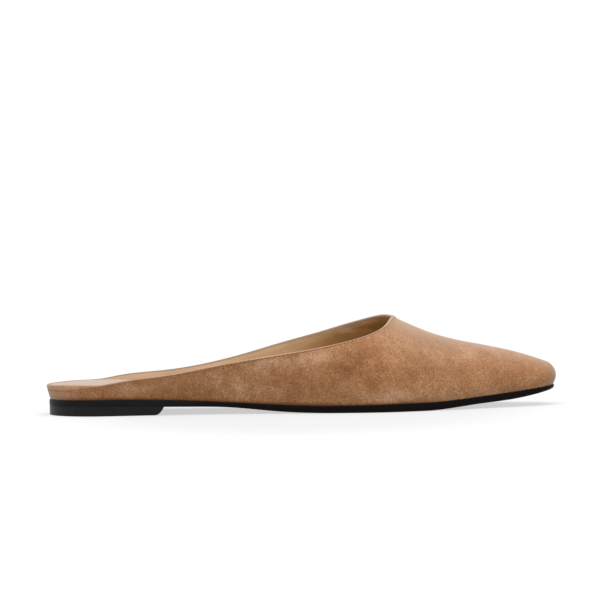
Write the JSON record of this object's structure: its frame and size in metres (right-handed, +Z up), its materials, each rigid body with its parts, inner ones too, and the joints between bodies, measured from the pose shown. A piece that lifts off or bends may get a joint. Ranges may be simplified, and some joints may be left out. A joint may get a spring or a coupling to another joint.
{
  "type": "mule shoe",
  "caption": "Flat suede mule with a pointed, blunt toe, a thin black sole, a low black heel and a cushioned leather insole.",
  "frame": {"origin": "centre of the footprint's bounding box, on the floor", "axes": "+X from the heel to the toe, +Y to the inner (medial) side, +Z up"},
  "size_m": [0.2574, 0.0782, 0.0464],
  "materials": {
    "suede": "napped tan suede",
    "sole": "smooth black edge",
    "heel": "smooth satin black",
    "sock": "smooth pale leather with a soft sheen"
  },
  "bodies": {
    "root": {"upper": "suede", "outsole": "sole", "heel": "heel", "insole": "sock"}
  },
  "joints": []
}
